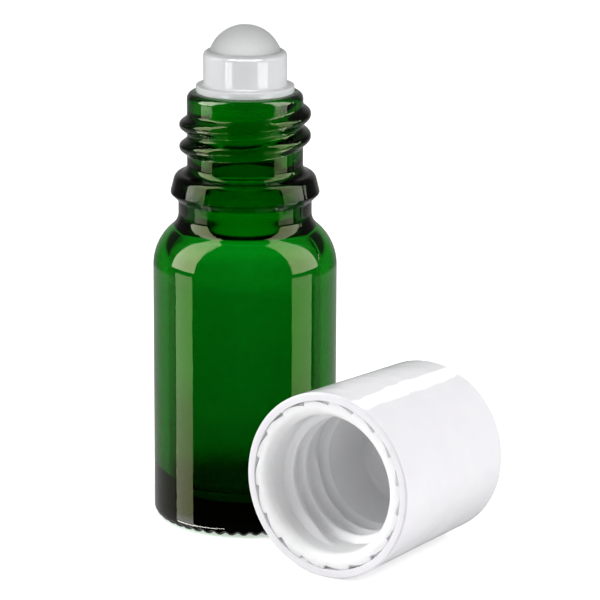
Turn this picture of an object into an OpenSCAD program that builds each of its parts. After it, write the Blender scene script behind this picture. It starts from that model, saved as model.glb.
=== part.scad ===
// Roll-on bottle: a green glass bottle with a screw neck, a housing pressed into its
// mouth, a ball that turns in the housing, and a screw cap laid down beside the bottle.

/* [Glass body] */
// Outer diameter of the body
body_d = 25; // [23:0.1:30]
// Height of the glass from its foot to its rim
glass_h = 59.1; // [56:0.1:75]
// Thickness of the glass wall of the body
wall = 2; // [1.5:0.1:2.5]
// Thickness of the glass in the middle of the base
base_t = 3; // [2:0.1:5]
// Rise of the hollow under the base
punt_h = 0.9; // [0.5:0.1:1.4]
// Inner diameter of the ring that the bottle stands on
foot_d = 19.6; // [17:0.1:20]
// Radius of the heel, outside
heel_r = 1.4; // [1:0.1:1.8]
// Radius where the inner wall meets the floor
floor_r = 3.5; // [2:0.1:5]
// Radius of the shoulder, outside
shoulder_r = 6.9; // [6:0.1:7.5]
// Radius where the shoulder turns up into the collar
shoulder_fillet = 2.5; // [1.5:0.1:3]
// Radius where the inner shoulder turns up into the bore
throat_r = 3; // [2:0.1:4]

/* [Glass neck] */
// Bore of the neck
bore_d = 10.2; // [9.8:0.1:10.6]
// Diameter of the neck between the thread turns
neck_d = 15.7; // [15.1:0.1:16]
// Height of the screw finish, from the bead to the rim
finish_h = 11.05; // [10.6:0.05:12.4]
// Diameter of the bead under the thread
bead_d = 20.2; // [19.4:0.1:20.6]
// Height of the bead
bead_h = 3.8; // [3.4:0.1:4.6]
// Radius of the upper edge of the bead
bead_round = 1.1; // [0.8:0.05:1.3]
// Radius of the lower edge of the bead
bead_edge = 0.35; // [0.2:0.05:0.5]
// Narrowing of the bead towards its top
bead_draft = 0.4; // [0.3:0.05:0.5]
// Radius where the neck runs out into the bead
neck_foot_r = 1.2; // [0.9:0.05:1.4]
// Diameter of the collar between bead and shoulder
collar_d = 18.1; // [17.6:0.1:18.4]
// Height of the collar
collar_h = 1.7; // [1.3:0.1:2.6]
// Radius of the rim, outside
rim_r = 0.9; // [0.6:0.05:1.1]
// Radius of the rim, inside
rim_in_r = 0.5; // [0.3:0.05:0.6]

/* [Screw thread] */
// Rise of the thread in one turn
pitch = 3; // [2.9:0.05:3.2]
// Height of the thread over the neck
thread_h = 1.04; // [0.9:0.02:1.1]
// Width of the thread at its root
thread_w = 2.7; // [2.4:0.05:2.8]
// Distance from the rim down to the top turn
thread_drop = 3; // [2.6:0.1:3.4]
// Angle at which the thread begins, at its lower end
thread_from = 95; // [0:5:180]
// Angle that the thread goes round
thread_sweep = 670; // [540:10:700]
// Angle over which the thread fades in and out
thread_fade = 40; // [20:5:60]

/* [Roller housing] */
// Diameter of the flange on the rim
flange_d = 13.3; // [12.9:0.1:13.7]
// Thickness of the flange
flange_t = 0.97; // [0.8:0.01:1.2]
// Diameter of the barrel round the ball
barrel_d = 11.3; // [11.2:0.05:11.8]
// Radius of the lip that holds the ball
lip_round = 0.75; // [0.5:0.05:0.8]
// Height of the lip above the middle of the ball
lip_h = 1.6; // [1.4:0.05:1.8]
// Radius where the barrel meets the flange
barrel_fillet = 0.3; // [0.15:0.05:0.5]
// Depth of the plug in the neck
plug_l = 8; // [6.5:0.1:9]
// Wall thickness of the plug
plug_wall = 1.1; // [0.8:0.05:1.4]
// Depth of the recess between the sealing ribs
rib_h = 0.25; // [0.15:0.05:0.35]
// Height of one sealing rib
rib_w = 0.7; // [0.5:0.05:0.9]
// Thickness of the ledge under the ball's seat
ledge_t = 0.9; // [0.7:0.05:1.2]
// Diameter of the opening in the ledge, through which the ball is wetted
feed_d = 5; // [4.4:0.1:6]
// Gap between the plug and the bore
plug_gap = 0.02; // [0.01:0.01:0.05]

/* [Ball] */
// Diameter of the ball
ball_d = 10.1; // [9.9:0.05:10.2]
// Height of the middle of the ball above the rim of the glass
ball_rise = 4.05; // [3.9:0.05:4.4]
// Gap between the ball and its seat
ball_gap = 0.05; // [0.03:0.01:0.08]

/* [Cap] */
// Diameter of the cap at its mouth
cap_d = 24.8; // [24.6:0.1:26]
// Diameter of the cap at its closed end
cap_top_d = 23.6; // [23.2:0.1:24.6]
// Height of the cap
cap_h = 25.3; // [24.8:0.1:29]
// Wall thickness of the outer shell
cap_wall = 1.1; // [0.8:0.05:1.2]
// Thickness of the shell at its closed end
cap_top_t = 1.2; // [0.9:0.05:1.4]
// Radius of the closed end's edge
cap_edge_r = 0.8; // [0.4:0.1:1.5]
// Radius of the outer edge of the mouth
cap_lip_r = 0.25; // [0.1:0.05:0.4]

/* [Cap insert] */
// Wall thickness of the insert's narrow part
insert_wall = 1.1; // [0.9:0.05:1.2]
// Space between the shell and the insert's wide part
wide_space = 0.65; // [0.5:0.05:0.8]
// Space between the shell and the insert's narrow part
narrow_space = 1.5; // [1.3:0.05:1.7]
// Depth of the insert behind the mouth of the shell
insert_recess = 0.1; // [0.05:0.05:0.6]
// Height of the insert's mouth flange
mouth_flange_h = 2.3; // [2:0.1:2.8]
// Radius of the rounded lead-in at the mouth
lead_r = 1.3; // [1:0.05:1.5]
// Gap between the screw threads of glass and insert
thread_gap = 0.3; // [0.2:0.02:0.34]
// Width of the insert's thread at its root
ridge_w = 1.9; // [1.6:0.05:2]
// Height of the first turn above the mouth of the cap
ridge_from = 3.9; // [3.6:0.1:4.4]
// Angle that the insert's thread goes round
ridge_sweep = 830; // [600:10:860]
// Depth at which the thread ends and the bore narrows
bore_step = 11.9; // [11.7:0.1:12.2]
// Radius between the insert's wall and its ceiling
ceiling_r = 1.2; // [0.8:0.1:1.6]
// Thickness of the insert's ceiling
ceiling_t = 1; // [0.8:0.05:1.2]
// Height of the crown between the insert's ceiling and the shell's end
crown_h = 1; // [0.6:0.05:1.4]
// Number of wedge notches round the mouth flange
notches = 18; // [12:1:24]
// Depth of a notch at its deep end
notch_depth = 0.5; // [0.2:0.05:0.6]
// Height of a notch
notch_h = 0.7; // [0.5:0.1:1.5]
// Number of ribs between the insert and the shell
ribs = 6; // [3:1:12]
// Thickness of one rib
rib_t = 0.9; // [0.6:0.1:1.4]
// Gap between the insert and the shell
insert_gap = 0.02; // [0.01:0.01:0.04]

/* [Place of the open cap] */
// Angle of the cap's axis on the table, from the right towards the back
cap_turn = 56; // [0:1:90]
// How far the mouth lies before the bottle's middle, along the cap's axis
cap_along = 17.2; // [10:0.1:30]
// Gap between the cap and the bottle
stand_gap = 0.3; // [0.2:0.1:10]

/* [Hidden] */

glass_colour = [0.02, 0.33, 0.05];
housing_colour = [0.9, 0.91, 0.92];
ball_colour = [0.78, 0.79, 0.79];
shell_colour = [0.95, 0.95, 0.96];
insert_colour = [0.86, 0.87, 0.88];

round_fn = 96;
arc_steps = 8;
thread_step = 10;
// Overrun of every cut past the surface that it opens
over = 0.4;
// Depth of a thread's or rib's root inside the wall that carries it
root_sink = 0.25;

// Shares of a thread's height and width at its knee and its crest
knee_height_share = 0.7;
knee_width_share = 0.5;
crest_width_share = 0.2;
// Height of a thread's ends, as a share of its full height
end_height_share = 0.12;
// Lean of the bead's face from upright
face_a = 15;
// Angle of one notch, as a share of the angle between notches
notch_angle_share = 0.6;

body_r = body_d / 2;
foot_r = foot_d / 2;
bore_r = bore_d / 2;
neck_r = neck_d / 2;
bead_r = bead_d / 2;
collar_r = collar_d / 2;
inner_r = body_r - wall;
floor_z = punt_h + base_t;
bead_top_z = glass_h - finish_h;
bead_z = bead_top_z - bead_h;
fillet_z = bead_z - collar_h;

// The shoulder's arc and the arc above it share a tangent, and so do the inner pair and the
// arcs where the neck runs out into the bead
shoulder_x = body_r - shoulder_r;
fillet_x = collar_r + shoulder_fillet;
shoulder_z = fillet_z - sqrt(pow(shoulder_r + shoulder_fillet, 2) - pow(fillet_x - shoulder_x, 2));
shoulder_a = atan2(fillet_z - shoulder_z, fillet_x - shoulder_x);
inner_shoulder_r = shoulder_r - wall;
throat_x = bore_r + throat_r;
throat_z = shoulder_z + sqrt(pow(inner_shoulder_r + throat_r, 2) - pow(throat_x - shoulder_x, 2));
throat_a = atan2(throat_z - shoulder_z, throat_x - shoulder_x);
bead_round_x = bead_r - bead_draft - bead_round;
bead_round_z = bead_top_z - bead_round;
neck_foot_x = neck_r + neck_foot_r;
neck_foot_z = bead_round_z + sqrt(pow(bead_round + neck_foot_r, 2) - pow(neck_foot_x - bead_round_x, 2));
neck_foot_a = atan2(neck_foot_z - bead_round_z, neck_foot_x - bead_round_x);

ball_r = ball_d / 2;
ball_z = glass_h + ball_rise;
socket_r = ball_r + ball_gap;
flange_r = flange_d / 2;
flange_top_z = glass_h + flange_t;
barrel_r = barrel_d / 2;
lip_z = ball_z + lip_h;
plug_r = bore_r - plug_gap;
plug_bore_r = plug_r - rib_h - plug_wall;
plug_z = glass_h - plug_l;
ledge_z = ball_z - socket_r - ledge_t;

cap_r = cap_d / 2;
cap_top_r = cap_top_d / 2;
cap_a = atan2(cap_r - cap_top_r, cap_h);
shell_ceiling_z = cap_h - cap_top_t;
crown_z = shell_ceiling_z - crown_h;
ceiling_z = crown_z - ceiling_t;
root_r = neck_r + thread_h + thread_gap;
bore_top_r = narrow_r(crown_z) - insert_wall;
step_z = bore_step + root_r - bore_top_r;
mouth_flange_z = insert_recess + mouth_flange_h;

// Points of an arc round [x, y], from angle a to angle b
function arc(x, y, r, a, b) =
    [for (i = [0 : arc_steps]) let (t = a + (b - a) * i / arc_steps) [x + r * cos(t), y + r * sin(t)]];

// Radius of the shell's outside and inside at height z over the mouth
function shell_r(z) = cap_r - z * tan(cap_a);
function shell_in_r(z) = shell_r(z) - cap_wall;

// Outer radius of the insert at height z: its fit in the shell, its wide part and its narrow part
function fit_r(z) = shell_in_r(z) - insert_gap;
function wide_r(z) = shell_in_r(z) - wide_space;
function narrow_r(z) = shell_in_r(z) - narrow_space;

// Half of the glass in section, from the middle of the base out, up and back down inside
function glass_outline() =
    let (punt_r = (foot_r * foot_r + punt_h * punt_h) / (2 * punt_h),
         edge_z = bead_z + bead_r - collar_r + bead_edge * (sqrt(2) - 1))
    concat(
        arc(0, punt_h - punt_r, punt_r, 90, 90 - asin(foot_r / punt_r)),
        arc(body_r - heel_r, heel_r, heel_r, -90, 0),
        arc(shoulder_x, shoulder_z, shoulder_r, 0, shoulder_a),
        arc(fillet_x, fillet_z, shoulder_fillet, 180 + shoulder_a, 180),
        [[collar_r, bead_z]],
        arc(bead_r - bead_edge, edge_z, bead_edge, -45, face_a),
        arc(bead_round_x, bead_round_z, bead_round, face_a, neck_foot_a),
        arc(neck_foot_x, neck_foot_z, neck_foot_r, 180 + neck_foot_a, 180),
        arc(neck_r - rim_r, glass_h - rim_r, rim_r, 0, 90),
        arc(bore_r + rim_in_r, glass_h - rim_in_r, rim_in_r, 90, 180),
        arc(throat_x, throat_z, throat_r, 180, 180 + throat_a),
        arc(shoulder_x, shoulder_z, inner_shoulder_r, throat_a, 0),
        arc(inner_r - floor_r, floor_z + floor_r, floor_r, 0, -90),
        [[0, floor_z]]
    );

// A helical ridge on a wall of radius r: side 1 stands outwards and side -1 inwards
module ridge(r, side, h, w, z, from, sweep, fade) {
    count = ceil(sweep / thread_step);
    section = [
        [0, -w / 2], [knee_height_share, -w * knee_width_share / 2],
        [1, -w * crest_width_share / 2], [1, w * crest_width_share / 2],
        [knee_height_share, w * knee_width_share / 2], [0, w / 2]
    ];
    n = len(section);
    points = [
        for (i = [0 : count])
            let (turn = sweep * i / count,
                 rise = min(1, end_height_share + min(turn, sweep - turn) / fade),
                 a = from + turn)
            for (p = section)
                let (x = p[0] == 0 ? -root_sink : h * p[0] * rise, d = r + side * x)
                [d * cos(a), d * sin(a), z + pitch * turn / 360 + p[1]]
    ];
    quads = [
        for (i = [0 : count - 1], j = [0 : n - 1])
            let (k = (j + 1) % n)
            for (t = [[i * n + j, i * n + n + j, i * n + k], [i * n + k, i * n + n + j, i * n + n + k]])
                side < 0 ? t : [t[0], t[2], t[1]]
    ];
    first = [for (j = [0 : n - 1]) side < 0 ? j : n - 1 - j];
    last = [for (j = [0 : n - 1]) count * n + (side < 0 ? n - 1 - j : j)];
    polyhedron(points, concat(quads, [first, last]));
}

module glass_bottle() {
    color(glass_colour) union() {
        rotate_extrude($fn = round_fn) polygon(glass_outline());
        ridge(neck_r, 1, thread_h, thread_w,
              glass_h - thread_drop - pitch * (720 - thread_from) / 360,
              thread_from, thread_sweep, thread_fade);
    }
}

// Half of the housing in section, solid to the axis
function housing_outline() =
    let (groove_r = plug_r - rib_h, rib_gap = (plug_l - 4 * rib_w) / 4)
    concat(
        [[0, plug_z], [groove_r - rib_h, plug_z], [groove_r, plug_z + rib_w]],
        [for (i = [1 : 3], p = [[groove_r, 0], [plug_r, rib_h], [plug_r, rib_w - rib_h], [groove_r, rib_w]])
            [p[0], plug_z + i * (rib_gap + rib_w) + p[1]]],
        [[groove_r, glass_h], [flange_r, glass_h], [flange_r, flange_top_z]],
        arc(barrel_r + barrel_fillet, flange_top_z + barrel_fillet, barrel_fillet, 270, 180),
        arc(barrel_r - lip_round, lip_z - lip_round, lip_round, 0, 90),
        [[0, lip_z]]
    );

module roller_housing() {
    color(housing_colour) difference() {
        rotate_extrude($fn = round_fn) polygon(housing_outline());
        translate([0, 0, ball_z]) sphere(r = socket_r, $fn = round_fn);
        translate([0, 0, plug_z - over])
            cylinder(r = plug_bore_r, h = ledge_z - plug_z + over, $fn = round_fn);
        translate([0, 0, ledge_z - over])
            cylinder(d = feed_d, h = ledge_t + ball_r, $fn = round_fn);
    }
}

module roller_ball() {
    color(ball_colour) translate([0, 0, ball_z]) sphere(r = ball_r, $fn = round_fn);
}

// Lays the cap, drawn mouth down, on its side beside the bottle with its wall on the table
module lay_down() {
    aside = (body_r + stand_gap) / cos(cap_a) + shell_r(cap_along);
    rotate([0, 0, cap_turn])
        translate([-cap_along, -aside, cap_r * cos(cap_a)])
            rotate([0, 90 + cap_a, 0])
                children();
}

// Half of the outer shell in section
function shell_outline() =
    let (edge_x = shell_r(cap_h - cap_edge_r * (1 - sin(cap_a))) - cap_edge_r * cos(cap_a),
         lip_x = shell_r(cap_lip_r * (1 + sin(cap_a))) - cap_lip_r * cos(cap_a))
    concat(
        [[shell_in_r(0), 0]],
        arc(lip_x, cap_lip_r, cap_lip_r, -90, cap_a),
        arc(edge_x, cap_h - cap_edge_r, cap_edge_r, cap_a, 90),
        [[0, cap_h], [0, shell_ceiling_z], [shell_in_r(shell_ceiling_z), shell_ceiling_z]]
    );

module cap_shell() {
    color(shell_colour) lay_down() rotate_extrude($fn = round_fn) polygon(shell_outline());
}

// Half of the insert in section
function insert_outline() =
    concat(
        [[fit_r(insert_recess), insert_recess],
         [fit_r(mouth_flange_z), mouth_flange_z], [wide_r(mouth_flange_z), mouth_flange_z],
         [wide_r(bore_step), bore_step], [narrow_r(step_z), step_z],
         [narrow_r(crown_z), crown_z], [0, crown_z], [0, ceiling_z]],
        arc(bore_top_r - ceiling_r, ceiling_z - ceiling_r, ceiling_r, 90, 0),
        [[bore_top_r, step_z], [root_r, bore_step]],
        arc(root_r + lead_r, insert_recess + lead_r, lead_r, 180, 270)
    );

// One wedge notch in the edge of the mouth flange
module notch() {
    a = notch_angle_share * 360 / notches;
    edge_r = fit_r(insert_recess);
    out_r = edge_r + over;
    translate([0, 0, insert_recess - over])
        linear_extrude(height = notch_h + over)
            polygon([[edge_r - notch_depth, 0], out_r * [cos(a), -sin(a)], [out_r, 0]]);
}

// The ribs and the crown that hold the insert in the shell
module insert_ribs() {
    foot_z = mouth_flange_z - over;
    for (i = [0 : ribs - 1])
        rotate([90, 0, 360 * i / ribs])
            translate([0, 0, -rib_t / 2])
                linear_extrude(height = rib_t)
                    polygon([
                        [wide_r(foot_z) - root_sink, foot_z], [fit_r(foot_z), foot_z],
                        [fit_r(crown_z), crown_z], [narrow_r(crown_z) - root_sink, crown_z],
                        [narrow_r(step_z) - root_sink, step_z], [wide_r(bore_step) - root_sink, bore_step]
                    ]);
    translate([0, 0, crown_z - over])
        cylinder(r = bore_top_r, h = crown_h - insert_gap + over, $fn = round_fn);
}

module cap_insert() {
    color(insert_colour) lay_down() difference() {
        union() {
            rotate_extrude($fn = round_fn) polygon(insert_outline());
            ridge(root_r, -1, thread_h, ridge_w, ridge_from, 0, ridge_sweep, thread_fade);
            insert_ribs();
        }
        for (i = [0 : notches - 1]) rotate([0, 0, 360 * i / notches]) notch();
    }
}

glass_bottle();
roller_housing();
roller_ball();
cap_shell();
cap_insert();
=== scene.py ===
import bpy
import numpy as np
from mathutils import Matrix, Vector


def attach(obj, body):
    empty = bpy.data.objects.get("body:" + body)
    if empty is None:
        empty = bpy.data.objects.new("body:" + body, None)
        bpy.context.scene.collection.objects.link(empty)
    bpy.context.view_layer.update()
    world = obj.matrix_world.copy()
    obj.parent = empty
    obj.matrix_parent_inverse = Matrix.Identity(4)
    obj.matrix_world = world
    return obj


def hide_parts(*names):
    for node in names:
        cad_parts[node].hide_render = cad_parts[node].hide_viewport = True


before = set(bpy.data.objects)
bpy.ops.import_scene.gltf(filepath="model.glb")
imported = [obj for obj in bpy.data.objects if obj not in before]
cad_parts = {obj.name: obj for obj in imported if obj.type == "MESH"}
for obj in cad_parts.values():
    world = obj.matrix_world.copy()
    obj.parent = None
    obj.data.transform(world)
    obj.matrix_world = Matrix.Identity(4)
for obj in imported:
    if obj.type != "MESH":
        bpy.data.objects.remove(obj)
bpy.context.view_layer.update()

# Glass bottle: one piece of green container glass, blown in a two-part mould. The screw
# neck is pressed first; the body, the knurled foot and the hollow base take the shape of
# the mould, whose joint leaves a fine seam up each side.
MM = 0.001
SHARP_A = 38.0          # an edge between faces that differ by more than this stays sharp

GLASS_H = 59.1
BODY_R = 12.5
WALL = 2.0
SHOULDER_R = 6.9        # outer round of the shoulder
FILLET_R = 2.5          # hollow round from the shoulder to the collar
THROAT_R = 3.0          # round on the inside, from the shoulder to the bore
BORE_R = 5.1
FOOT_R = 9.8            # inner edge of the ring that the bottle stands on
HEEL_R = 1.4
PUNT_H = 0.9            # depth of the hollow under the base
FLOOR_Z = 3.9
FLOOR_R = 3.5           # round from the floor to the inner wall

COLLAR_R = 9.05
COLLAR_Z = 42.55
BEAD_R = 10.1
BEAD_Z = 44.25          # where the bead's slanting under side leaves the collar
BEAD_TOP_Z = 48.05
BEAD_ROUND = 1.1        # round of the bead's upper edge
BEAD_EDGE = 0.35        # round of its lower edge
BEAD_DRAFT = 0.4        # the bead is this much narrower at the top
BEAD_FACE_A = 15.0      # its side leans by this much
NECK_R = 7.85
NECK_FOOT_R = 1.2       # hollow round from the bead to the neck
RIM_R = 0.9             # round of the rim, outside
RIM_IN_R = 0.5          # and inside

PITCH = 3.0
THREAD_H = 1.04
THREAD_W = 2.7
THREAD_TOP_Z = 56.1     # height of the crest after two turns
THREAD_FROM = 95.0
THREAD_TO = 765.0
THREAD_FADE = 40.0      # turn in which an end of the ridge rises to its full height
CREST_FULLNESS = 1.35   # above 1, the crest is broader than a plain cosine
OVER_BEAD = 0.6         # the ridge keeps this far from the bead
UNDER_RIM = 0.3         # and from the rim

SEAM_A = -33.0
SEAM_W = 0.5
NECK_SEAM_H = 0.07
BODY_SEAM_H = 0.012
SEAM_END = 0.5          # the seam ends this far from the foot and from the rim
SEAM_STEP = 2.0         # this far up the shoulder, the seam of the neck takes over
SEAM_WAVES = (1.3, 0.43)
SKIN_R = 7.0            # what lies further out is the outside, or the body's inner wall

KNURLS = 44
KNURL_H = 0.32
KNURL_SHARPNESS = 1.5   # above 1, the notches are narrower than the lands
KNURL_RUN = 0.5         # the notches start this far out on the ring and deepen as far
KNURL_TOP = 1.0         # and end at this height, after fading for KNURL_FADE
KNURL_FADE = 0.6


def arc(x, z, r, start, stop, steps):
    """Points of an arc in half section: the centre (x, z) plus r times the cosine and the
    sine of evenly spaced angles."""
    a = np.radians(np.linspace(start, stop, steps + 1))
    return np.stack([x + r * np.cos(a), z + r * np.sin(a)], 1)


def filled(outline, gap, edge=0.12):
    """The outline with points added to its longer stretches: one at the distance edge from
    each end, which keeps the shading of the flat part apart from that of its ends, and
    evenly spaced ones in between, about gap apart."""
    outline = np.array(outline, float)
    parts = [outline[:1]]
    for a, b in zip(outline[:-1], outline[1:]):
        length = np.hypot(*(b - a))
        shares = [1.0]
        if length > 4 * edge:
            count = max(2, int(np.ceil(length / gap)) + 1)
            shares = [*(np.linspace(edge, length - edge, count) / length), 1.0]
        parts.append(a + np.array(shares)[:, None] * (b - a))
    return np.concatenate(parts)


def turned(name, outline, sides, relief=None, laid=None):
    """A closed surface of revolution. Each outline point (r, z) goes once round the axis to
    (r cos a, r sin a, z), and relief(a, r, z) may first move r and z, as a thread does. An
    outline from axis to axis gets a pole at each end, and any other closes on itself.
    laid(points) then puts the points in place."""
    has_poles = outline[0, 0] < 1e-6
    rings = outline[1:-1] if has_poles else outline
    a = np.linspace(0, 2 * np.pi, sides, endpoint=False)[None, :]
    r, z = (np.repeat(rings[:, k:k + 1], sides, 1) for k in (0, 1))
    if relief:
        r, z = relief(np.degrees(a), r, z)
    points = np.stack([r * np.cos(a), r * np.sin(a), z], -1).reshape(-1, 3)
    rows = len(rings)
    row = np.arange(rows - 1 if has_poles else rows)[:, None]
    col = np.arange(sides)[None, :]
    right = (col + 1) % sides
    low, high = row * sides, (row + 1) % rows * sides
    quads = np.stack([low + col, low + right, high + right, high + col], -1)
    faces = quads.reshape(-1, 4).tolist()
    if has_poles:
        points = np.concatenate([points, [[0, 0, outline[0, 1]], [0, 0, outline[-1, 1]]]])
        first, last = (np.full_like(col, rows * sides + k) for k in (0, 1))
        top = (rows - 1) * sides
        for fan in ([right, col, first], [top + col, top + right, last]):
            faces += np.stack(fan, -1).reshape(-1, 3).tolist()
    if laid:
        points = laid(points)
    mesh = bpy.data.meshes.new(name)
    mesh.from_pydata((points * MM).tolist(), [], faces)
    mesh.validate()
    mesh.shade_smooth()
    mesh.set_sharp_from_angle(angle=np.radians(SHARP_A))
    piece = bpy.data.objects.new(name, mesh)
    bpy.context.scene.collection.objects.link(piece)
    return piece


def ridge_height(a, z, first_a, last_a, first_z, width):
    """Height of a screw ridge at angle a and height z, from 0 to 1. Its crest rises by the
    pitch in a turn, from first_z at first_a. Over half the width to either side the height
    falls as a raised cosine, and at each end it fades as 3 t squared less 2 t cubed."""
    height = np.zeros_like(z)
    for turn in range(int(last_a // 360) + 1):
        along = a + 360 * turn
        off = np.abs(z - first_z - PITCH * (along - first_a) / 360) / (width / 2)
        bent = np.pi * np.clip(off, 0, 1) ** CREST_FULLNESS
        fall = np.where(off < 1, 0.5 + 0.5 * np.cos(bent), 0)
        end = np.clip(np.minimum(along - first_a, last_a - along) / THREAD_FADE, 0, 1)
        height = np.maximum(height, fall * end * end * (3 - 2 * end))
    return height


def glass_relief(a, r, z):
    """The relief on the turned glass. The screw ridge and the mould's seam add to the
    radius: the seam is a raised cosine of the distance from it, and on the neck it comes
    and goes as the product of two sines of the height. The knurls lift the outer part of
    the foot by a power of a raised cosine of the angle."""
    skin = r > SKIN_R
    on_neck = skin & (z > BEAD_TOP_Z + OVER_BEAD) & (z < GLASS_H - UNDER_RIM)
    first_z = THREAD_TOP_Z - PITCH * (720 - THREAD_FROM) / 360
    ridge = ridge_height(a, z, THREAD_FROM, THREAD_TO, first_z, THREAD_W)

    inner_wall = (r < inner_r + WALL / 10) & (z < COLLAR_Z - WALL / 2)
    outside = skin & (z > SEAM_END) & (z < GLASS_H - SEAM_END) & ~inner_wall
    from_seam = np.abs((a - SEAM_A + 90) % 180 - 90) * np.pi / 180 * r / (SEAM_W / 2)
    rounded = 0.5 + 0.5 * np.cos(np.pi * np.clip(from_seam, 0, 1))
    seam = np.where(outside & (from_seam < 1), rounded, 0)
    long_wave, short_wave = (2 * np.pi * z / wave for wave in SEAM_WAVES)
    uneven = 0.6 + 0.4 * np.sin(long_wave) * np.sin(short_wave + 1)
    seam_h = np.where(z > shoulder_z + SEAM_STEP, NECK_SEAM_H * uneven, BODY_SEAM_H)

    notch = 0.5 - 0.5 * np.cos(np.radians(a) * KNURLS)
    across = np.clip((r - FOOT_R - KNURL_RUN) / KNURL_RUN, 0, 1)
    across = across * np.clip((KNURL_TOP - z) / KNURL_FADE, 0, 1)
    return (r + np.where(on_neck, THREAD_H * ridge, 0) + seam_h * seam,
            z + KNURL_H * notch ** KNURL_SHARPNESS * across)


# Where two rounds touch, the line through their centres gives the angle at which one ends
# and the other starts: shoulder and fillet, throat and inner shoulder, bead and neck foot.
inner_r = BODY_R - WALL
shoulder_x = BODY_R - SHOULDER_R
fillet_x = COLLAR_R + FILLET_R
fillet_up = np.sqrt((SHOULDER_R + FILLET_R) ** 2 - (fillet_x - shoulder_x) ** 2)
shoulder_z = COLLAR_Z - fillet_up
shoulder_a = np.degrees(np.arctan2(COLLAR_Z - shoulder_z, fillet_x - shoulder_x))
throat_x = BORE_R + THROAT_R
throat_up = np.sqrt((SHOULDER_R - WALL + THROAT_R) ** 2 - (throat_x - shoulder_x) ** 2)
throat_z = shoulder_z + throat_up
throat_a = np.degrees(np.arctan2(throat_z - shoulder_z, throat_x - shoulder_x))
round_x = BEAD_R - BEAD_DRAFT - BEAD_ROUND
round_z = BEAD_TOP_Z - BEAD_ROUND
foot_x = NECK_R + NECK_FOOT_R
foot_z = round_z + np.sqrt((BEAD_ROUND + NECK_FOOT_R) ** 2 - (foot_x - round_x) ** 2)
foot_a = np.degrees(np.arctan2(foot_z - round_z, foot_x - round_x))
bead_edge_z = BEAD_Z + BEAD_R - COLLAR_R + BEAD_EDGE * (np.sqrt(2) - 1)
punt_r = (FOOT_R ** 2 + PUNT_H ** 2) / (2 * PUNT_H)
punt_a = np.degrees(np.arcsin(FOOT_R / punt_r))

# From the middle of the foot up the outside, over the rim and down the inside. The slices
# drop the points that two neighbours share.
glass_outline = np.concatenate([
    arc(0, PUNT_H - punt_r, punt_r, 90, 90 - punt_a, steps=12),
    filled([[FOOT_R, 0], [BODY_R - HEEL_R, 0]], gap=0.2, edge=0.02)[1:-1],
    arc(BODY_R - HEEL_R, HEEL_R, HEEL_R, -90, 0, steps=20),
    filled([[BODY_R, HEEL_R], [BODY_R, shoulder_z]], gap=2.0)[1:-1],
    arc(shoulder_x, shoulder_z, SHOULDER_R, 0, shoulder_a, steps=20),
    arc(fillet_x, COLLAR_Z, FILLET_R, 180 + shoulder_a, 180, steps=14)[1:],
    filled([[COLLAR_R, COLLAR_Z], [COLLAR_R, BEAD_Z]], gap=0.5)[1:],
    arc(BEAD_R - BEAD_EDGE, bead_edge_z, BEAD_EDGE, -45, BEAD_FACE_A, steps=6),
    arc(round_x, round_z, BEAD_ROUND, BEAD_FACE_A, foot_a, steps=14),
    arc(foot_x, foot_z, NECK_FOOT_R, 180 + foot_a, 180, steps=12)[1:],
    filled([[NECK_R, foot_z], [NECK_R, GLASS_H - RIM_R]], gap=0.14)[1:-1],
    arc(NECK_R - RIM_R, GLASS_H - RIM_R, RIM_R, 0, 90, steps=10),
    arc(BORE_R + RIM_IN_R, GLASS_H - RIM_IN_R, RIM_IN_R, 90, 180, steps=6),
    filled([[BORE_R, GLASS_H - RIM_IN_R], [BORE_R, throat_z]], gap=2.0)[1:-1],
    arc(throat_x, throat_z, THROAT_R, 180, 180 + throat_a, steps=10),
    arc(shoulder_x, shoulder_z, SHOULDER_R - WALL, throat_a, 0, steps=12)[1:],
    filled([[inner_r, shoulder_z], [inner_r, FLOOR_Z + FLOOR_R]], gap=3.0)[1:-1],
    arc(inner_r - FLOOR_R, FLOOR_Z + FLOOR_R, FLOOR_R, 0, -90, steps=12),
    filled([[inner_r - FLOOR_R, FLOOR_Z], [0, FLOOR_Z]], gap=1.5)[1:],
])
bottle = turned("bottle_glass", glass_outline, 8 * KNURLS, glass_relief)


def linear(code):
    """Linear colour of an sRGB hex code: c / 12.92 up to 0.04045, and ((c + 0.055) / 1.055)
    to the power 2.4 above it."""
    c = np.array([int(code[k:k + 2], 16) for k in (1, 3, 5)]) / 255
    c = np.where(c <= 0.04045, c / 12.92, ((c + 0.055) / 1.055) ** 2.4)
    return (*c.tolist(), 1.0)


def put(tree, kind, sockets=None, **settings):
    """Adds one node of that kind with its settings, and sets or links each of its sockets
    that is named or numbered."""
    node = tree.nodes.new(kind)
    for name, value in settings.items():
        setattr(node, name, value)
    for key, value in (sockets or {}).items():
        if isinstance(value, bpy.types.NodeSocket):
            tree.links.new(value, node.inputs[key])
        else:
            node.inputs[key].default_value = value
    return node


def material_tree(name):
    """A new material of that name, with an empty node tree."""
    material = bpy.data.materials.new(name)
    material.use_nodes = True
    material.node_tree.nodes.clear()
    return material, material.node_tree


# Soda-lime container glass, coloured green through and through: the thicker the glass that
# light passes, the deeper the green. The blown surface is fire-polished, with a faint ripple
# about 5 mm long. The colour that the light takes at each surface is the glass's green with
# painted shade, set by height: black at the base, and some bands of the shoulder, collar and
# bead lighter, others darker. The colour of the reflections is painted reflection, also set
# by height: bright at the heel and the rim, green on the shoulder and dim on the bead.
RIPPLE_L = 5.0
RIPPLE_H = 0.02
DENSITY = 1700.0        # of what colours the glass, for each metre
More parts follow.
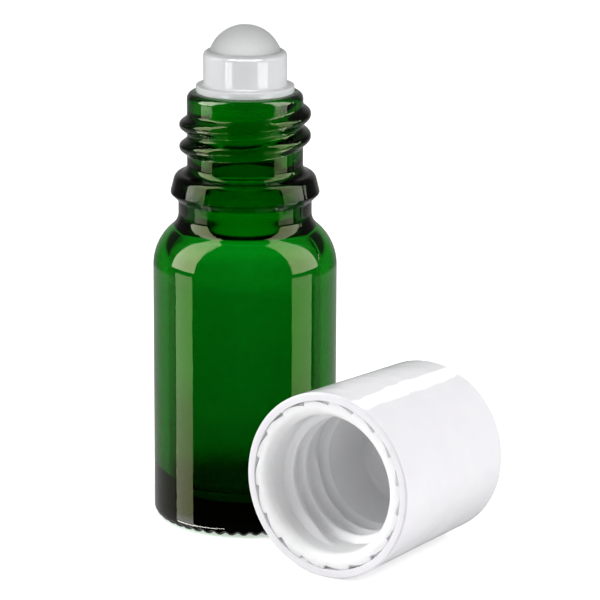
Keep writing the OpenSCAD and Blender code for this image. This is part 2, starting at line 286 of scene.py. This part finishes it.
# Each stop is a height and the colour there. Between two stops the colour eases over.
# Painted shade: the colour at each surface, black at the base and banded above it.
PAINTED_SHADE_TINTS = (
    (0, "#34503F"), (4, "#4E7868"), (8, "#749C8C"), (12, "#86AE9E"), (22, "#8CB6A8"),
    (30, "#94BEB0"), (33, "#94BEB0"), (36, "#BCDCD0"), (38.5, "#D4F0E8"), (42, "#FFFFFF"),
    (44, "#FFFFFF"), (46, "#B4CCB8"), (50, "#A4B8A4"), (53, "#D8E4D8"), (60, "#E8F0E8"))
# Painted reflection: the colour and strength of the reflections on each band.
PAINTED_SHEENS = (
    (0, "#FFFFF0"), (1.6, "#FFFFF0"), (2.6, "#C0CA84"), (16, "#C0CA84"), (24, "#B7FF7F"),
    (33, "#B7FF7F"), (37, "#D0CB9C"), (38.8, "#D0CB9C"), (40.4, "#A0AC74"), (42, "#A0AC74"),
    (45, "#404430"), (47, "#7C8058"), (49, "#A1A671"), (56, "#A1A671"), (59, "#FFFFE8"))

green_glass, tree = material_tree("green_container_glass_blown")
place = put(tree, "ShaderNodeTexCoord").outputs["Object"]
ripple = put(tree, "ShaderNodeTexNoise", {
    "Vector": place, "Scale": 1 / (RIPPLE_L * MM), "Detail": 1.5, "Roughness": 0.4})
height = put(tree, "ShaderNodeSeparateXYZ", {0: place}).outputs["Z"]
by_height = []
for stops in (PAINTED_SHADE_TINTS, PAINTED_SHEENS):
    top = stops[-1][0]
    share = put(tree, "ShaderNodeMath", {0: height, 1: 1 / (top * MM)}, operation="MULTIPLY")
    ramp = put(tree, "ShaderNodeValToRGB", {0: share.outputs[0]})
    ramp.color_ramp.interpolation = "EASE"
    spots = ramp.color_ramp.elements
    for z, code in stops[1:-1]:
        spots.new(z / top)
    for spot, (z, code) in zip(spots, stops):
        spot.color = linear(code)
    by_height.append(ramp.outputs[0])
painted_shade_tint, painted_sheen = by_height
bump = put(tree, "ShaderNodeBump", {
    "Height": ripple.outputs[0], "Strength": 1.0, "Distance": RIPPLE_H * MM})
solid = put(tree, "ShaderNodeBsdfPrincipled", {
    "Base Color": painted_shade_tint, "Roughness": 0.0, "IOR": 1.52, "Transmission Weight": 1.0,
    "Specular Tint": painted_sheen, "Normal": bump.outputs[0]})
clear = put(tree, "ShaderNodeBsdfTransparent", {0: linear("#FFFFFF")})
shadow = put(tree, "ShaderNodeLightPath").outputs["Is Shadow Ray"]
surface = put(tree, "ShaderNodeMixShader", {0: shadow, 1: solid.outputs[0], 2: clear.outputs[0]})
body_colour = put(tree, "ShaderNodeVolumeAbsorption", {
    "Color": linear("#00EAA0"), "Density": DENSITY})
put(tree, "ShaderNodeOutputMaterial", {
    "Surface": surface.outputs[0], "Volume": body_colour.outputs[0]})
bottle.data.materials.append(green_glass)
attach(bottle, "bottle")
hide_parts("glass_bottle")

# Roller housing: one white polyethylene moulding, pressed into the neck. Sealing ribs on
# its plug grip the bore, the flange seats on the rim, and the lip of the barrel snaps
# over the ball.
FLANGE_R = 6.65
FLANGE_T = 0.97
BARREL_R = 5.65
BARREL_FOOT_R = 0.3
BALL_R = 5.05
BALL_Z = 63.15
SOCKET_R = 5.1
LIP_ROUND = 0.75
LIP_H = 1.6             # the lip closes this far over the ball's middle
PLUG_L = 8.0
PLUG_WALL = 1.1
PLUG_GAP = 0.02
RIB_H = 0.25
RIB_W = 0.7
LEDGE_T = 0.9           # thickness of the ledge under the ball
FEED_R = 2.5            # opening in it
EDGE_R = 0.12

plug_r = BORE_R - PLUG_GAP
plug_z = GLASS_H - PLUG_L
groove_r = plug_r - RIB_H
plug_bore_r = groove_r - PLUG_WALL
flange_top_z = GLASS_H + FLANGE_T
lip_z = BALL_Z + LIP_H
ledge_z = BALL_Z - SOCKET_R - LEDGE_T
rib_step = (PLUG_L - 4 * RIB_W) / 4 + RIB_W
rib_section = ((groove_r, 0), (plug_r, RIB_H), (plug_r, RIB_W - RIB_H), (groove_r, RIB_W))
ribs = [[r, plug_z + k * rib_step + up] for k in (1, 2, 3) for r, up in rib_section]
lip_a = np.degrees(np.arcsin(LIP_H / SOCKET_R))
seat_a = -np.degrees(np.arccos(FEED_R / SOCKET_R))
seat_z = BALL_Z + SOCKET_R * np.sin(np.radians(seat_a))

# From the plug's lower end up its ribs, over the flange, the barrel and the lip, and down
# through the seat of the ball.
housing_outline = np.concatenate([
    filled([[plug_bore_r, plug_z], [groove_r - RIB_H, plug_z], [groove_r, plug_z + RIB_W], *ribs,
            [groove_r, GLASS_H], [FLANGE_R - EDGE_R, GLASS_H]], gap=1.0, edge=0.05),
    arc(FLANGE_R - EDGE_R, GLASS_H + EDGE_R, EDGE_R, -90, 0, steps=5)[1:],
    arc(FLANGE_R - EDGE_R, flange_top_z - EDGE_R, EDGE_R, 0, 90, steps=5),
    arc(BARREL_R + BARREL_FOOT_R, flange_top_z + BARREL_FOOT_R, BARREL_FOOT_R, 270, 180, steps=6),
    filled([[BARREL_R, flange_top_z + BARREL_FOOT_R],
            [BARREL_R, lip_z - LIP_ROUND]], gap=0.8)[1:-1],
    arc(BARREL_R - LIP_ROUND, lip_z - LIP_ROUND, LIP_ROUND, 0, 90, steps=12),
    arc(0, BALL_Z, SOCKET_R, lip_a, seat_a, steps=24),
    filled([[FEED_R, seat_z], [FEED_R, ledge_z], [plug_bore_r, ledge_z],
            [plug_bore_r, plug_z]], gap=1.0)[1:-1],
])
housing = turned("housing_moulding", housing_outline, 192)


def plastic(name, colours, gloss, grain, grain_h, detail, shader_values, roughness=0.5):
    """Material of a plastic. A noise with lumps of about grain millimetres blends the two
    colours and the two values of surface roughness in gloss, and raises the surface by
    grain_h millimetres. detail and roughness set how much finer noise lies on the lumps."""
    material, tree = material_tree(name)
    place = put(tree, "ShaderNodeTexCoord").outputs["Object"]
    lumps = put(tree, "ShaderNodeTexNoise", {
        "Vector": place, "Scale": 1 / (grain * MM), "Detail": detail, "Roughness": roughness})
    lumps = lumps.outputs[0]
    shade = put(tree, "ShaderNodeMix", {
        0: lumps, 6: linear(colours[0]), 7: linear(colours[1])}, data_type="RGBA").outputs[2]
    polish = put(tree, "ShaderNodeMapRange", {0: lumps, 3: gloss[0], 4: gloss[1]}).outputs[0]
    bump = put(tree, "ShaderNodeBump", {
        "Height": lumps, "Strength": 1.0, "Distance": grain_h * MM}).outputs[0]
    shader = put(tree, "ShaderNodeBsdfPrincipled", {
        "Base Color": shade, "Roughness": polish, "Normal": bump, **shader_values})
    put(tree, "ShaderNodeOutputMaterial", {"Surface": shader.outputs[0]})
    return material


# Injection-moulded polyethylene: milky white and slightly translucent, glossy where the
# steel was polished, with a faint unevenness 2.5 mm long from shrinking as it cooled.
EVEN = (1.0, 1.0, 1.0)  # all colours of light go equally far inside a white plastic
housing_white = plastic(
    "white_polyethylene_glossy", colours=("#EEF0F1", "#F6F7F8"), gloss=(0.08, 0.14),
    grain=2.5, grain_h=0.012, detail=2.0, shader_values={
        "IOR": 1.51, "Subsurface Weight": 0.25, "Subsurface Radius": EVEN,
        "Subsurface Scale": 0.5 * MM})
housing.data.materials.append(housing_white)
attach(housing, "bottle")
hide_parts("roller_housing")

# Ball: a solid ball of clear polypropylene, tumbled until its skin is frosted. It turns
# freely in the housing and carries the liquid out on its surface.
ball = turned("ball_frosted", arc(0, BALL_Z, BALL_R, -90, 90, steps=96), 192)

# Frosted polypropylene: light enters the ball and scatters inside it, so it has soft edges
# of light and shade, like candle wax. The grain of the frost is too fine to show, so it is
# drawn 0.35 mm coarse.
frosted = plastic(
    "frosted_polypropylene_tumbled", colours=("#E6E8E8", "#F0F2F2"), gloss=(0.42, 0.54),
    grain=0.35, grain_h=0.01, detail=3.0, shader_values={
        "IOR": 1.49, "Transmission Weight": 0.15, "Subsurface Weight": 0.7,
        "Subsurface Radius": EVEN, "Subsurface Scale": 2.5 * MM})
ball.data.materials.append(frosted)
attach(ball, "ball")
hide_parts("roller_ball")

# Cap shell: the smooth outer cup of the cap, moulded in glossy white polypropylene with a
# slight draft. It lies on its side, so its wall rests on the table.
CAP_R = 12.4
CAP_TOP_R = 11.8
CAP_H = 25.3
CAP_WALL = 1.1
CAP_TOP_T = 1.2
CAP_EDGE_R = 0.8        # round of the closed end
CAP_LIP_R = 0.25        # round of the mouth, outside
CAP_IN_EDGE_R = 0.05    # and inside
CAP_TURN = 56.0         # turn of the lying cap about the bottle's axis
CAP_ALONG = 17.2        # from its mouth to the point beside the bottle's axis
STAND_GAP = 0.3         # between the bottle and the cap
GATE_R = 0.9            # mark of the mould's gate on the closed end
GATE_DEPTH = 0.15
GATE_SECTION = ((1.6, 0), (1.3, 0.5), (1, 1), (0.5, 1), (0.35, 0.3), (0, 0.2))

draft = (CAP_R - CAP_TOP_R) / CAP_H
cap_a = np.arctan(draft)
cap_a_deg = np.degrees(cap_a)


def lay_down(points):
    """Lays the cap, turned mouth down, on its side: the axis tips over by 90 degrees and
    the draft, the cap moves beside the bottle, and both turn about the bottle's axis."""
    tip, turn = np.pi / 2 + cap_a, np.radians(CAP_TURN)
    x, y, z = points.T
    x, z = x * np.cos(tip) + z * np.sin(tip), z * np.cos(tip) - x * np.sin(tip)
    aside = (BODY_R + STAND_GAP) / np.cos(cap_a) + CAP_R - CAP_ALONG * draft
    x, y, z = x - CAP_ALONG, y - aside, z + CAP_R * np.cos(cap_a)
    x, y = x * np.cos(turn) - y * np.sin(turn), x * np.sin(turn) + y * np.cos(turn)
    return np.stack([x, y, z], 1)


def shell_r(z):
    """Outer radius of the shell at height z over its mouth: the radius of the mouth less z
    times the draft."""
    return CAP_R - z * draft


def inside_shell(z, space):
    """Radius at height z that leaves that space to the shell's wall: the shell's outer
    radius less the wall and the space."""
    return shell_r(z) - CAP_WALL - space


edge_x = shell_r(CAP_H - CAP_EDGE_R * (1 - np.sin(cap_a))) - CAP_EDGE_R * np.cos(cap_a)
lip_x = shell_r(CAP_LIP_R * (1 + np.sin(cap_a))) - CAP_LIP_R * np.cos(cap_a)
ceiling_in_z = CAP_H - CAP_TOP_T
in_edge_x = inside_shell(0, 0) + CAP_IN_EDGE_R
gate = (0, CAP_H) + np.array(GATE_SECTION) * (GATE_R, -GATE_DEPTH)

# From the inner ceiling down the bore, round the mouth, and up the outside to the gate.
shell_outline = np.concatenate([
    filled([[0, ceiling_in_z], [inside_shell(ceiling_in_z, 0), ceiling_in_z],
            [inside_shell(CAP_IN_EDGE_R, 0), CAP_IN_EDGE_R]], gap=3.0),
    arc(in_edge_x, CAP_IN_EDGE_R, CAP_IN_EDGE_R, 180, 270, steps=4)[1:],
    arc(lip_x, CAP_LIP_R, CAP_LIP_R, -90, cap_a_deg, steps=7),
    filled([[shell_r(CAP_LIP_R), CAP_LIP_R],
            [shell_r(CAP_H - CAP_EDGE_R), CAP_H - CAP_EDGE_R]], gap=1.5)[1:-1],
    arc(edge_x, CAP_H - CAP_EDGE_R, CAP_EDGE_R, cap_a_deg, 90, steps=12),
    filled([[edge_x, CAP_H], gate[0]], gap=2.0)[1:-1],
    gate,
])
shell = turned("cap_outer_shell", shell_outline, 256, laid=lay_down)

# Injection-moulded polypropylene, high gloss: a smooth white wall whose reflections waver a
# little, over about 4 mm, because the plastic shrank unevenly over the ribs of the insert.
cap_white = plastic(
    "white_polypropylene_high_gloss", colours=("#F6F4F8", "#FAF9FC"), gloss=(0.07, 0.12),
    grain=4.0, grain_h=0.15, detail=1.5, roughness=0.45, shader_values={"IOR": 1.49})
shell.data.materials.append(cap_white)
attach(shell, "cap")
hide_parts("cap_shell")
# Both pieces of the cap stay out of reflections: the cap has a soft light of its own, and
# its white wall would burn out in the side of the glass.
shell.visible_glossy = False

# Cap insert: the threaded inner part, moulded on its own and snapped into the shell. Its
# mouth flange has wedge notches that lock it against turning, and ribs hold it off the
# shell further up.
INSERT_GAP = 0.02
INSERT_WALL = 1.1
WIDE_SPACE = 0.65       # space to the shell outside the wide part of the bore
NARROW_SPACE = 1.5      # and outside the narrow part
RECESS = 0.1            # the insert sits this deep in the mouth
MOUTH_FLANGE_H = 2.3
FLANGE_EDGE = 0.05
LEAD_R = 1.3            # round that leads into the bore
THREAD_GAP = 0.3
RIDGE_W = 1.9
RIDGE_FROM = 3.9
RIDGE_SWEEP = 830.0
RIDGE_RUN_ON = 0.5      # the ridge runs this far into the narrow part
BORE_STEP = 11.9        # where the bore gets narrower
CROWN_H = 1.0           # height over which the insert fills the shell's closed end
CEILING_T = 1.0
CEILING_R = 1.2
NOTCHES = 18
NOTCH_DEPTH = 0.5
NOTCH_H = 0.7
NOTCH_STEP = 0.03
NOTCH_SHARE = 0.6       # share of the edge that is notched
RIBS = 6
RIB_T = 0.9
RIB_ROOT = 0.6          # the ribs stand on what is this far outside the narrow bore
HAIR = 0.02             # margin of a test for points that lie on an edge

root_r = NECK_R + THREAD_H + THREAD_GAP
crown_z = ceiling_in_z - CROWN_H
ceiling_z = crown_z - CEILING_T
mouth_flange_z = RECESS + MOUTH_FLANGE_H
bore_top_r = inside_shell(crown_z, NARROW_SPACE) - INSERT_WALL
step_z = BORE_STEP + root_r - bore_top_r
mouth_r = inside_shell(RECESS, INSERT_GAP)
notch_z = RECESS + NOTCH_H
notch_r = inside_shell(notch_z, INSERT_GAP)
flange_r = inside_shell(mouth_flange_z, INSERT_GAP)
end_z = ceiling_in_z - INSERT_GAP


def insert_relief(a, r, z):
    """The relief on the turned insert. The screw ridge takes from the radius, each wedge
    notch cuts the flange's edge from its full depth to nothing, in line with the angle, and
    the ribs carry the outer wall out to the shell."""
    bore = (r < root_r + HAIR) & (z > RECESS + LEAD_R) & (z < step_z + RIDGE_RUN_ON)
    ridge = THREAD_H * ridge_height(a, z, 0.0, RIDGE_SWEEP, RIDGE_FROM, RIDGE_W)
    moved = r - np.where(bore, np.minimum(ridge, np.maximum(r - root_r + THREAD_H, 0)), 0)

    across = (-a % (360 / NOTCHES)) / (NOTCH_SHARE * 360 / NOTCHES)
    edge = (z < notch_z) & (r > mouth_r - 2 * FLANGE_EDGE)
    moved = moved - np.where(edge & (across < 1), NOTCH_DEPTH * (1 - across), 0)

    from_rib = np.abs((a + 180 / RIBS) % (360 / RIBS) - 180 / RIBS) * np.pi / 180 * r
    wall = (r > bore_top_r + RIB_ROOT) & (r > root_r + HAIR)
    wall = wall & (z > mouth_flange_z + HAIR) & (z < crown_z + HAIR)
    return np.where(wall & (from_rib < RIB_T / 2), inside_shell(z, INSERT_GAP), moved), z


# From the ceiling down the bore, over the thread and the lead-in, round the flange, and up
# the outside to the closed end.
insert_outline = np.concatenate([
    filled([[0, ceiling_z], [bore_top_r - CEILING_R, ceiling_z]], gap=1.5),
    arc(bore_top_r - CEILING_R, ceiling_z - CEILING_R, CEILING_R, 90, 0, steps=10)[1:],
    filled([[bore_top_r, ceiling_z - CEILING_R], [bore_top_r, step_z]], gap=1.0)[1:],
    filled([[bore_top_r, step_z], [root_r, BORE_STEP], [root_r, RECESS + LEAD_R]], gap=0.13)[1:],
    arc(root_r + LEAD_R, RECESS + LEAD_R, LEAD_R, 180, 270, steps=12)[1:-1],
    filled([[root_r + LEAD_R, RECESS], [mouth_r - FLANGE_EDGE, RECESS],
            [mouth_r, RECESS + FLANGE_EDGE], [notch_r, notch_z],
            [notch_r, notch_z + NOTCH_STEP], [flange_r, mouth_flange_z],
            [inside_shell(mouth_flange_z, WIDE_SPACE), mouth_flange_z],
            [inside_shell(BORE_STEP, WIDE_SPACE), BORE_STEP],
            [inside_shell(step_z, NARROW_SPACE), step_z],
            [inside_shell(crown_z, NARROW_SPACE), crown_z], [bore_top_r, crown_z],
            [bore_top_r, end_z], [0, end_z]], gap=1.0, edge=0.04),
])
insert = turned("cap_threaded_insert", insert_outline, 360, insert_relief, lay_down)

# The same plastic with less pigment, from a finely sparked mould: a satin white that light
# enters a little way, so that the mouth stays soft in the cap's shade. The texture is drawn
# 0.8 mm coarse, because the real one is too fine to show.
insert_white = plastic(
    "white_polypropylene_satin", colours=("#F4F4F6", "#FAFAFB"), gloss=(0.26, 0.36),
    grain=0.8, grain_h=0.008, detail=3.0, shader_values={
        "IOR": 1.49, "Subsurface Weight": 0.6, "Subsurface Radius": EVEN,
        "Subsurface Scale": 1.5 * MM})
insert.data.materials.append(insert_white)
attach(insert, "cap")
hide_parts("cap_insert")
insert.visible_glossy = False

# Studio: a pale table top that runs out to white under a white sky. Each material has lamps
# of its own, as if each piece had been lit and photographed by itself: tall soft boxes at
# the sides and low boards, which stand in for the light that a table top sends up.
TABLE_SIDE = 6.0        # in metres, as all distances of the studio are
TABLE_Z = -0.00002      # a hair under the foot, so that the two surfaces stay apart
GLOW_NEAR = (0.3, 0.5)  # up to this distance the table glows with this strength
GLOW_FAR = (1.0, 1.0)   # and from this distance on with this one

scene = bpy.context.scene
table_mesh = bpy.data.meshes.new("floor")
table_mesh.from_pydata([(x * TABLE_SIDE / 2, y * TABLE_SIDE / 2, TABLE_Z)
                        for x, y in ((-1, -1), (1, -1), (1, 1), (-1, 1))], [], [(0, 1, 2, 3)])
table = bpy.data.objects.new("floor", table_mesh)
scene.collection.objects.link(table)
table.visible_glossy = False
pale, tree = material_tree("pale_table_top")
# The glow is seen by the camera and through the glass, and lights nothing else.
seen = put(tree, "ShaderNodeLightPath").outputs
shown = put(tree, "ShaderNodeMath", {
    0: seen["Is Camera Ray"], 1: seen["Is Transmission Ray"]}, operation="MAXIMUM")
place = put(tree, "ShaderNodeTexCoord").outputs["Object"]
away = put(tree, "ShaderNodeVectorMath", {0: place}, operation="LENGTH")
glow_level = put(tree, "ShaderNodeMapRange", {
    0: away.outputs["Value"], 1: GLOW_NEAR[0], 2: GLOW_FAR[0], 3: GLOW_NEAR[1], 4: GLOW_FAR[1]})
strength = put(tree, "ShaderNodeMath", {
    0: shown.outputs[0], 1: glow_level.outputs[0]}, operation="MULTIPLY")
matt = put(tree, "ShaderNodeBsdfDiffuse", {"Color": linear("#F4F4F4")})
glow = put(tree, "ShaderNodeEmission", {
    "Color": linear("#FFFFFF"), "Strength": strength.outputs[0]})
both = put(tree, "ShaderNodeAddShader", {0: matt.outputs[0], 1: glow.outputs[0]})
put(tree, "ShaderNodeOutputMaterial", {"Surface": both.outputs[0]})
table_mesh.materials.append(pale)

# The sky is white to the camera and through the glass. Matt surfaces get a low, even light
# from it. Reflections meet a dim wall behind the bottle, paler low down and straight
# behind. Black flags stand at both sides above the table, and only light that comes
# through the glass meets them: they darken the sides of the shoulder.
FILL = 0.2
FLAG_LEVEL = 0.03
world = bpy.data.worlds.new("studio")
scene.world = world
world.use_nodes = True
tree = world.node_tree
tree.nodes.clear()
seen = put(tree, "ShaderNodeLightPath").outputs
shown = put(tree, "ShaderNodeMath", {
    0: seen["Is Camera Ray"], 1: seen["Is Transmission Ray"]}, operation="MAXIMUM")
direction = put(tree, "ShaderNodeTexCoord").outputs["Generated"]
way = put(tree, "ShaderNodeSeparateXYZ", {0: direction}).outputs
aside = put(tree, "ShaderNodeMath", {0: way["X"]}, operation="ABSOLUTE").outputs[0]
zones = {}
# A zone follows one part of the direction: from start to stop, it goes from one level to
# the other.
for zone, part, start, stop, first_level, last_level in (
        ("behind", way["Y"], 0.10, 0.16, 0.0, 1.0),
        ("wall_level", way["Z"], -0.23, -0.18, 0.42, 0.08),
        ("patch", way["Y"], 0.70, 0.95, 0.02, 0.30),
        ("beside", aside, 0.22, 0.36, 0.0, 1.0),
        ("above", way["Z"], 0.03, 0.10, 0.0, 1.0)):
    zones[zone] = put(tree, "ShaderNodeMapRange", {
        0: part, 1: start, 2: stop, 3: first_level, 4: last_level}).outputs[0]
wall = put(tree, "ShaderNodeMath", {
    0: zones["behind"], 1: zones["wall_level"]}, operation="MULTIPLY")
mirrored = put(tree, "ShaderNodeMath", {
    0: wall.outputs[0], 1: zones["patch"]}, operation="MAXIMUM")
unseen = put(tree, "ShaderNodeMix", {
    0: seen["Is Glossy Ray"], 2: FILL, 3: mirrored.outputs[0]}, data_type="FLOAT")
flag = put(tree, "ShaderNodeMath", {
    0: zones["beside"], 1: zones["above"]}, operation="MULTIPLY")
flagged = put(tree, "ShaderNodeMath", {
    0: flag.outputs[0], 1: seen["Is Transmission Ray"]}, operation="MULTIPLY")
white = put(tree, "ShaderNodeMapRange", {0: flagged.outputs[0], 3: 1.0, 4: FLAG_LEVEL})
level = put(tree, "ShaderNodeMix", {
    0: shown.outputs[0], 2: unseen.outputs[0], 3: white.outputs[0]}, data_type="FLOAT")
sky = put(tree, "ShaderNodeBackground", {
    "Color": linear("#FFFFFF"), "Strength": level.outputs[0]})
put(tree, "ShaderNodeOutputWorld", {"Surface": sky.outputs[0]})

# The lamps stand upright round the bottle's axis and face it. A row holds the name, the
# turn from the front, the angle that the lamp spans, its lower and upper edge, its
# radiance, the pieces that it is for, and whether it lights them alone or all others. The
# lights of the ball and of the cap's mouth leave no mirror image, and lip_gloss, which
# gives the line of light on the housing's lip, leaves nothing else.
LAMP_AWAY = 0.5
for name, turn, wide, low_z, high_z, radiance, pieces, link in (
        ("left_soft_box", -83.5, 38.0, 0.045, 1.40, 8.0, [bottle], "INCLUDE"),
        ("left_board", -81.5, 28.0, -0.50, -0.012, 3.2, [bottle], "INCLUDE"),
        ("right_soft_box", 82.0, 42.0, 0.045, 1.40, 6.0, [bottle], "INCLUDE"),
        ("right_board", 76.5, 31.0, -0.50, -0.012, 2.8, [bottle], "INCLUDE"),
        ("left_heel_board", -62.0, 72.0, -0.38, -0.26, 13.0, [bottle], "INCLUDE"),
        ("right_heel_board", 62.0, 72.0, -0.38, -0.26, 13.0, [bottle], "INCLUDE"),
        ("left_light", -83.5, 38.0, 0.045, 1.40, 5.0, [bottle, housing, ball], "EXCLUDE"),
        ("right_light", 82.0, 42.0, 0.045, 1.40, 3.4, [bottle, housing, ball], "EXCLUDE"),
        ("back_soft_box", 158.0, 12.0, 0.14, 0.42, 4.0, [shell], "INCLUDE"),
        ("mouth_light", -34.0, 34.0, 0.0, 0.22, 1.45, [insert], "INCLUDE"),
        ("left_housing_light", -83.5, 38.0, 0.045, 0.45, 2.7, [housing], "INCLUDE"),
        ("right_housing_light", 82.0, 42.0, 0.045, 0.45, 2.4, [housing], "INCLUDE"),
        ("left_housing_board", -45.0, 20.0, -0.10, -0.012, 8.0, [housing], "INCLUDE"),
        ("right_housing_board", 50.0, 30.0, -0.10, -0.012, 6.5, [housing], "INCLUDE"),
        ("front_housing_light", 0.0, 44.0, 0.06, 0.30, 1.6, [housing], "INCLUDE"),
        ("lip_gloss", 0.0, 100.0, 0.28, 1.0, 13.0, [housing], "INCLUDE"),
        ("front_ball_light", 0.0, 70.0, 0.01, 0.30, 4.1, [ball], "INCLUDE"),
        ("back_ball_light", 180.0, 70.0, 0.01, 0.30, 2.4, [ball], "INCLUDE"),
        ("top_ball_light", 180.0, 70.0, 0.35, 0.75, 2.7, [ball], "INCLUDE")):
    width = 2 * LAMP_AWAY * np.tan(np.radians(wide / 2))
    lamp = bpy.data.lights.new(name, "AREA")
    lamp.shape = "RECTANGLE"
    lamp.size = width
    lamp.size_y = high_z - low_z
    lamp.energy = radiance * np.pi * width * (high_z - low_z)
    box = bpy.data.objects.new(name, lamp)
    a = np.radians(turn)
    box.location = (LAMP_AWAY * np.sin(a), -LAMP_AWAY * np.cos(a), (low_z + high_z) / 2)
    to_axis = Vector((0, 0, box.location[2])) - box.location
    box.rotation_euler = to_axis.to_track_quat("-Z", "Y").to_euler()
    box.visible_transmission = False
    box.visible_glossy = not name.endswith(("ball_light", "mouth_light"))
    box.visible_diffuse = name != "lip_gloss"
    scene.collection.objects.link(box)
    lit = bpy.data.collections.new(name)
    for k, piece in enumerate(pieces):
        lit.objects.link(piece)
        lit.collection_objects[k].light_linking.link_state = link
    box.light_linking.receiver_collection = lit

# The camera: a long lens from the front, which looks down on the bottle.
CAMERA_PLACE = (0.006876, -0.45, 0.14445)
FOCAL_LENGTH = 203.9
LOOK_DOWN = 14.25
LOOK_ASIDE = -0.08
CAMERA_ROLL = 0.25
lens = bpy.data.cameras.new("camera")
lens.lens = FOCAL_LENGTH
lens.sensor_width = 36.0
lens.clip_start = 0.01
lens.clip_end = 20.0
camera = bpy.data.objects.new("camera", lens)
camera.location = CAMERA_PLACE
camera.rotation_euler = (np.radians(90 - LOOK_DOWN), 0, np.radians(LOOK_ASIDE))
camera.rotation_euler.rotate_axis("Z", np.radians(CAMERA_ROLL))
scene.collection.objects.link(camera)
scene.camera = camera
scene.view_settings.view_transform = "Standard"
